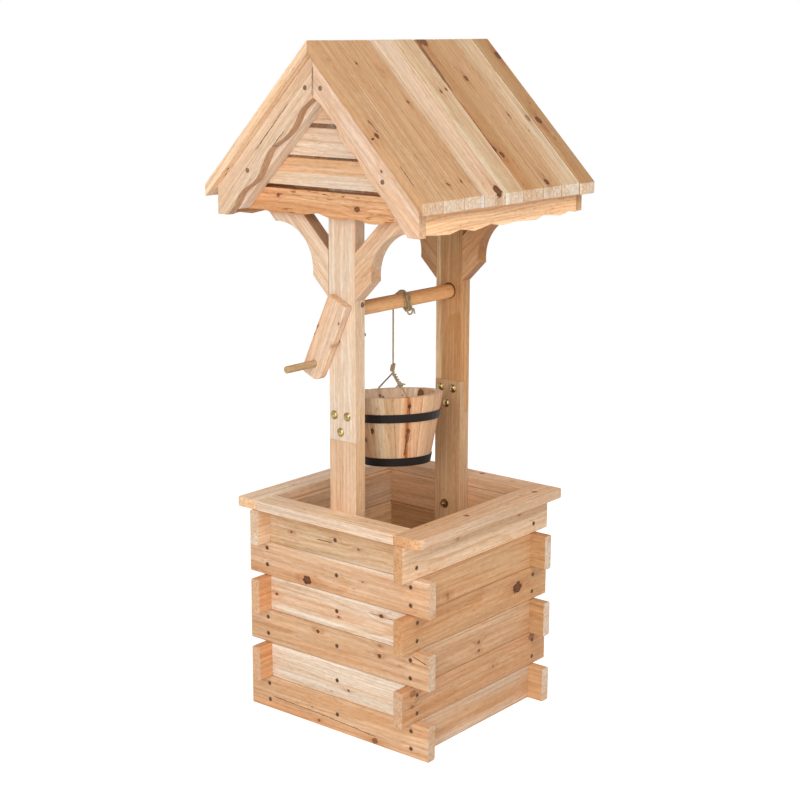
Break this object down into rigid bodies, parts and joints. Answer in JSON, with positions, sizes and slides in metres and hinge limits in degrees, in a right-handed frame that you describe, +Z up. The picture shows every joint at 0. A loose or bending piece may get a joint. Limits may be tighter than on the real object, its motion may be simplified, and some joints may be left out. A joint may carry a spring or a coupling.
{
  "type": "wishing well planter",
  "caption": "Wooden garden planter shaped as a wishing well: log-style box, posts with a gabled board roof, crank windlass and a hooped bucket on a rope.",
  "frame": {"origin": "on the ground at the middle of the box, under the planter floor's middle cleat", "axes": "+X to the right across the gable front, +Y from the crank side to the back, +Z up"},
  "size_m": [0.4718, 0.4842, 1.1903],
  "materials": {
    "cedar": "sanded, unfinished",
    "cedar_inner": "sanded, unfinished",
    "jute": "twisted natural fibre",
    "hoop_paint": "satin black"
  },
  "bodies": {
    "well": {"box_front_1": "cedar", "box_front_2": "cedar", "box_front_3": "cedar", "box_front_4": "cedar", "box_front_5": "cedar", "box_front_6": "cedar", "box_back_1": "cedar", "box_back_2": "cedar", "box_back_3": "cedar", "box_back_4": "cedar", "box_back_5": "cedar", "box_back_6": "cedar", "box_left_1": "cedar", "box_left_2": "cedar", "box_left_3": "cedar", "box_left_4": "cedar", "box_left_5": "cedar", "box_left_6": "cedar", "box_right_1": "cedar", "box_right_2": "cedar", "box_right_3": "cedar", "box_right_4": "cedar", "box_right_5": "cedar", "box_right_6": "cedar", "rim_left": "cedar", "rim_right": "cedar", "rim_front": "cedar", "rim_back": "cedar", "planter_floor": "cedar_inner", "post_front_lower": "cedar", "post_front_upper": "cedar", "post_back_lower": "cedar", "post_back_upper": "cedar", "roof_left": "cedar", "roof_right": "cedar", "ridge_board": "cedar_inner", "eave_fascia_left": "cedar", "eave_fascia_right": "cedar", "barge_front_right": "cedar", "barge_front_left": "cedar", "gable_frame_front": "cedar", "gable_fascia_front": "cedar", "brace_front_right": "cedar", "brace_front_left": "cedar", "barge_back_right": "cedar", "barge_back_left": "cedar", "gable_frame_back": "cedar", "gable_fascia_back": "cedar", "brace_back_right": "cedar", "brace_back_left": "cedar"},
    "windlass": {"axle": "cedar_inner", "crank_arm": "cedar", "crank_handle": "cedar_inner", "rope_wrap": "jute"},
    "rope": {"rope_line": "jute"},
    "knot": {"rope_knot": "jute"},
    "bucket": {"bucket_staves": "cedar", "bucket_hoop_upper": "hoop_paint", "bucket_hoop_lower": "hoop_paint", "bail_rope": "jute"}
  },
  "joints": [
    {"name": "windlass_turn", "type": "hinge", "parent": "well", "child": "windlass", "pos_m": [0, 0, 0.746], "axis": [0, 1, 0], "range_deg": [-360, 360]},
    {"name": "rope_swing", "type": "hinge", "parent": "well", "child": "rope", "pos_m": [-0.0146, -0.0062, 0.739], "axis": [0, 1, 0], "range_deg": [-10, 10]},
    {"name": "bucket_lift", "type": "slide", "parent": "rope", "child": "knot", "axis": [0, 0, 1], "range_m": [-0.0918, 0.0918], "deforming": ["rope_line"]},
    {"name": "bucket_swing", "type": "hinge", "parent": "knot", "child": "bucket", "pos_m": [-0.0146, -0.0062, 0.62515], "axis": [1, 0, 0], "range_deg": [-20, 20]}
  ],
  "couplings": [
    {"joint": "bucket_lift", "follows": "windlass_turn", "m_per_rad": 0.0146}
  ]
}
